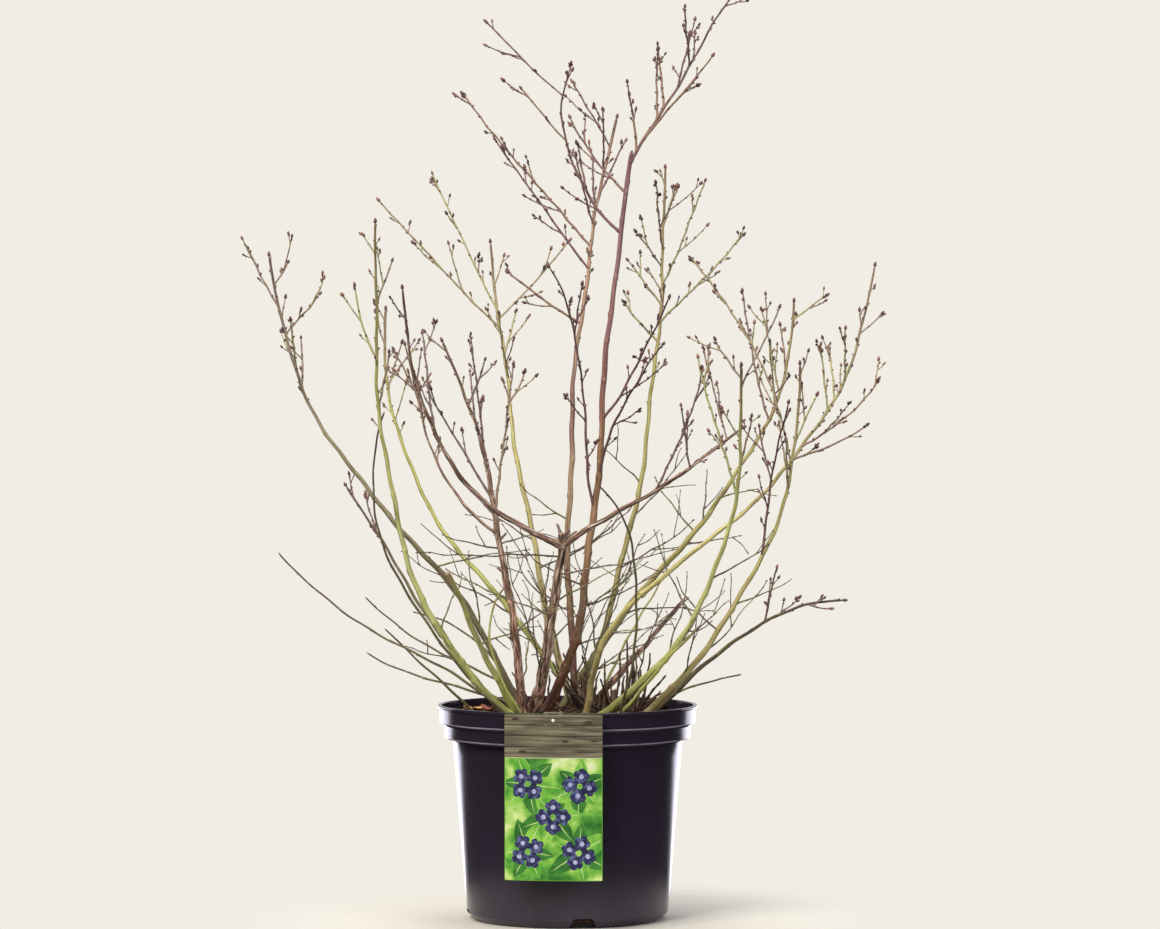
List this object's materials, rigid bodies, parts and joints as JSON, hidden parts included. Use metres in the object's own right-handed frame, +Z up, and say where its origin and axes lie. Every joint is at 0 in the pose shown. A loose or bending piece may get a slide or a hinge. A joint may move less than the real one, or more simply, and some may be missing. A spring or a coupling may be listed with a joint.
{
  "type": "blueberry bush in a pot",
  "caption": "Leafless winter highbush blueberry with upright tapering canes and budded twigs, standing in a round black nursery pot with a hanging picture label.",
  "frame": {"origin": "centre of the pot's flat underside", "axes": "+Z up along the pot's axis, -Y towards the viewer who faces the label, +X to that viewer's right"},
  "size_m": [0.6413, 0.4458, 0.923],
  "materials": {
    "pot_plastic": "black thermoformed nursery pot, softly glossy with fine scuffs",
    "compost": null,
    "label_card": "printed plastic card with a satin face",
    "bark_old": "old cane with shaggy grey-brown bark in strips, matt",
    "bark_brown": "smooth red-brown bark with a faint sheen",
    "bark_olive": "smooth olive bark, brown where the sun reached it",
    "bark_green": "smooth green young bark with a faint sheen",
    "bark_yellow_green": "smooth yellow-green young bark",
    "twigs": "thin purple-brown twigs with pointed winter buds"
  },
  "bodies": {
    "root": {"pot": "pot_plastic", "compost": "compost", "label": "label_card", "cane_centre": "bark_brown", "twigs_centre_top": "twigs", "twigs_centre_left": "twigs", "twigs_centre_left_high": "twigs", "twigs_centre_low_right": "twigs", "twigs_centre_lowest_right": "twigs", "twigs_centre_low_left": "twigs", "cane_brown": "bark_brown", "twigs_brown": "twigs", "cane_old": "bark_old", "bough_old_left": "bark_old", "twigs_old_left": "twigs", "bough_old_right": "bark_old", "twigs_old_right": "twigs", "cane_shaggy": "bark_old", "twigs_shaggy": "twigs", "bough_shaggy_left": "bark_old", "twigs_shaggy_left": "twigs", "cane_yellow": "bark_yellow_green", "twigs_yellow": "twigs", "cane_green_left": "bark_green", "twigs_green_left": "twigs", "cane_outer_left": "bark_olive", "twigs_outer_left": "twigs", "cane_green_far_left": "bark_green", "twigs_green_far_left": "twigs", "cane_dark_left": "bark_brown", "twigs_dark_left": "twigs", "cane_cut_left": "bark_green", "cane_short_left": "bark_green", "cane_thin_left": "bark_olive", "cane_whip_far_left": "bark_olive", "cane_whip_back_left": "bark_olive", "cane_whip_low_left": "bark_olive", "cane_whip_lowest_left": "bark_olive", "cane_whip_left": "bark_olive", "cane_olive": "bark_olive", "twigs_olive": "twigs", "cane_diagonal": "bark_olive", "twigs_diagonal": "twigs", "cane_curved_right": "bark_green", "bough_outer_right": "bark_yellow_green", "twigs_outer_right": "twigs", "cane_green_right": "bark_green", "twigs_green_right": "twigs", "cane_green_far_right": "bark_yellow_green", "twigs_green_far_right": "twigs", "twigs_brown_right": "twigs", "cane_pale_right": "bark_green", "cane_brown_low_right": "bark_brown", "twigs_brown_low_right": "twigs", "cane_dead_right": "bark_old", "cane_thin_front": "bark_green", "cane_thin_back": "bark_green", "cane_whip_right": "bark_olive"}
  },
  "joints": []
}
